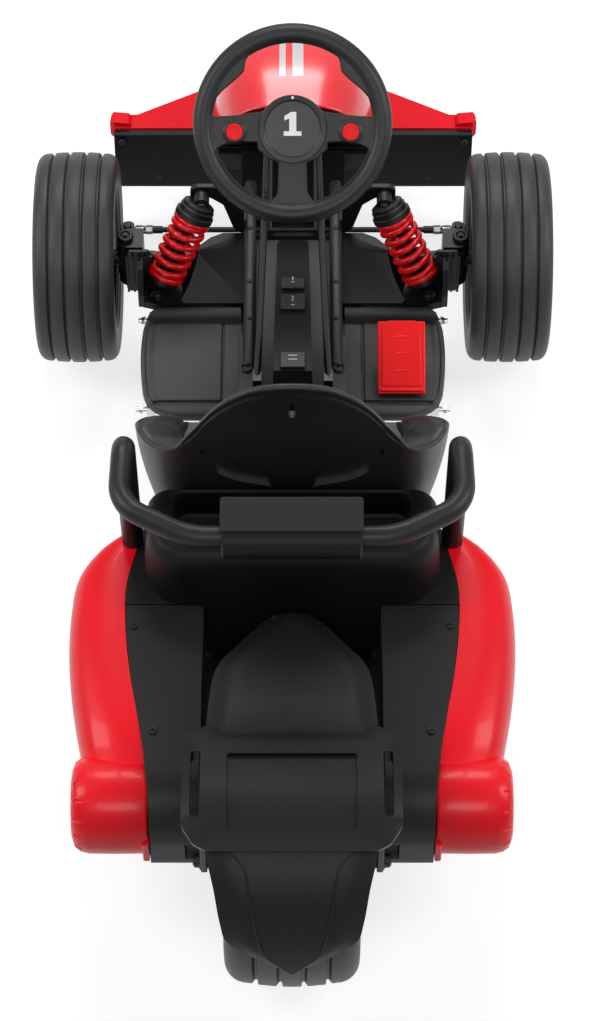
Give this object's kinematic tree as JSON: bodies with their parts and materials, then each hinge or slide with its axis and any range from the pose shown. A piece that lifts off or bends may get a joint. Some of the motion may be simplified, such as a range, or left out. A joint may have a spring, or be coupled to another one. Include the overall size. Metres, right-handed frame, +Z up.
{
  "type": "child's electric go-kart with one rear drive wheel",
  "caption": "Low single-seat ride-on kart: steered front wheels on kingpins, one wide driven rear wheel, bucket seat, roll bar, nose cowl, front wing and side pods.",
  "frame": {"origin": "on the floor under the centre of the whole kart's bounding box", "axes": "+Y forward, +X to the driver's right, +Z up"},
  "size_m": [0.725, 1.4466, 0.585],
  "materials": {
    "shell_red": "high gloss moulded shell",
    "plastic_black": "fine grained matte moulding",
    "seat_black": "grained blow-moulded bucket",
    "tray_grey": "coarse grained tread plate moulding",
    "frame_black": "satin powder coat",
    "steel_bright": "zinc plated",
    "spring_red": "gloss enamel",
    "tyre_black": "satin ribbed tread",
    "rim_black": "moulded wheel centre",
    "grip_black": "soft-touch rim",
    "pedal_red": "semi-gloss moulding",
    "button_red": "gloss button",
    "battery_grey": "plain case"
  },
  "bodies": {
    "steering": {"steering_rim": "grip_black", "steering_hub": "grip_black", "steering_buttons": "button_red", "steering_column": "steel_bright"},
    "track_rod": {"track_rod": "frame_black"},
    "rear_wheel": {"rear_tyre": "tyre_black", "rear_rim": "rim_black"},
    "knuckle_left": {"knuckle_left": "frame_black"},
    "front_wheel_left": {"front_tyre_left": "tyre_black", "front_rim_left": "rim_black", "front_cap_left": "rim_black"},
    "knuckle_right": {"knuckle_right": "frame_black"},
    "front_wheel_right": {"front_tyre_right": "tyre_black", "front_rim_right": "rim_black", "front_cap_right": "rim_black"},
    "root": {"floor_pan": "frame_black", "chassis_spine": "frame_black", "spine_rails": "plastic_black", "front_subframe": "frame_black", "console": "plastic_black", "console_switches": "plastic_black", "column_mount": "frame_black", "column_struts": "frame_black", "column_foot": "frame_black", "nose_cowl": "shell_red", "front_wing": "shell_red", "wing_board": "plastic_black", "tray_rods": "steel_bright", "pedal": "pedal_red", "pedal_base": "plastic_black", "seat_shell": "seat_black", "seat_base": "plastic_black", "seat_shelf": "plastic_black", "battery_box": "battery_grey", "charge_socket": "plastic_black", "roll_bar": "frame_black", "bar_pad": "plastic_black", "rear_fender": "plastic_black", "rear_axle": "frame_black", "lower_arm_left": "frame_black", "lower_arm_right": "frame_black", "damper_left": "frame_black", "damper_right": "frame_black", "spring_left": "spring_red", "spring_right": "spring_red", "damper_tower_left": "frame_black", "damper_tower_right": "frame_black", "front_shroud_left": "plastic_black", "front_shroud_right": "plastic_black", "foot_tray_left": "tray_grey", "foot_tray_right": "tray_grey", "side_deck_left": "plastic_black", "side_deck_right": "plastic_black", "side_pod_left": "shell_red", "side_pod_right": "shell_red", "wheel_bracket_left": "frame_black", "wheel_bracket_right": "frame_black"}
  },
  "joints": [
    {"name": "steer", "type": "hinge", "parent": "root", "child": "steering", "pos_m": [0, 0.404, 0.45], "axis": [0, -0.6428, 0.766], "range_deg": [-30, 30]},
    {"name": "track_slide", "type": "slide", "parent": "root", "child": "track_rod", "axis": [1, 0, 0], "range_m": [-0.0103, 0.0103]},
    {"name": "kingpin_left", "type": "hinge", "parent": "root", "child": "knuckle_left", "pos_m": [-0.238, 0.408, 0.15], "axis": [0, 0, 1], "range_deg": [-12, 12]},
    {"name": "kingpin_right", "type": "hinge", "parent": "root", "child": "knuckle_right", "pos_m": [0.238, 0.408, 0.15], "axis": [0, 0, 1], "range_deg": [-12, 12]},
    {"name": "front_spin_left", "type": "hinge", "parent": "knuckle_left", "child": "front_wheel_left", "pos_m": [-0.306, 0.408, 0.15], "axis": [1, 0, 0], "continuous": true},
    {"name": "front_spin_right", "type": "hinge", "parent": "knuckle_right", "child": "front_wheel_right", "pos_m": [0.306, 0.408, 0.15], "axis": [1, 0, 0], "continuous": true},
    {"name": "rear_spin", "type": "hinge", "parent": "root", "child": "rear_wheel", "pos_m": [0, -0.557, 0.158], "axis": [1, 0, 0], "continuous": true}
  ],
  "couplings": [
    {"joint": "track_slide", "follows": "steer", "m_per_rad": -0.0193},
    {"joint": "kingpin_left", "follows": "steer", "ratio": 0.389},
    {"joint": "kingpin_right", "follows": "steer", "ratio": 0.389}
  ]
}
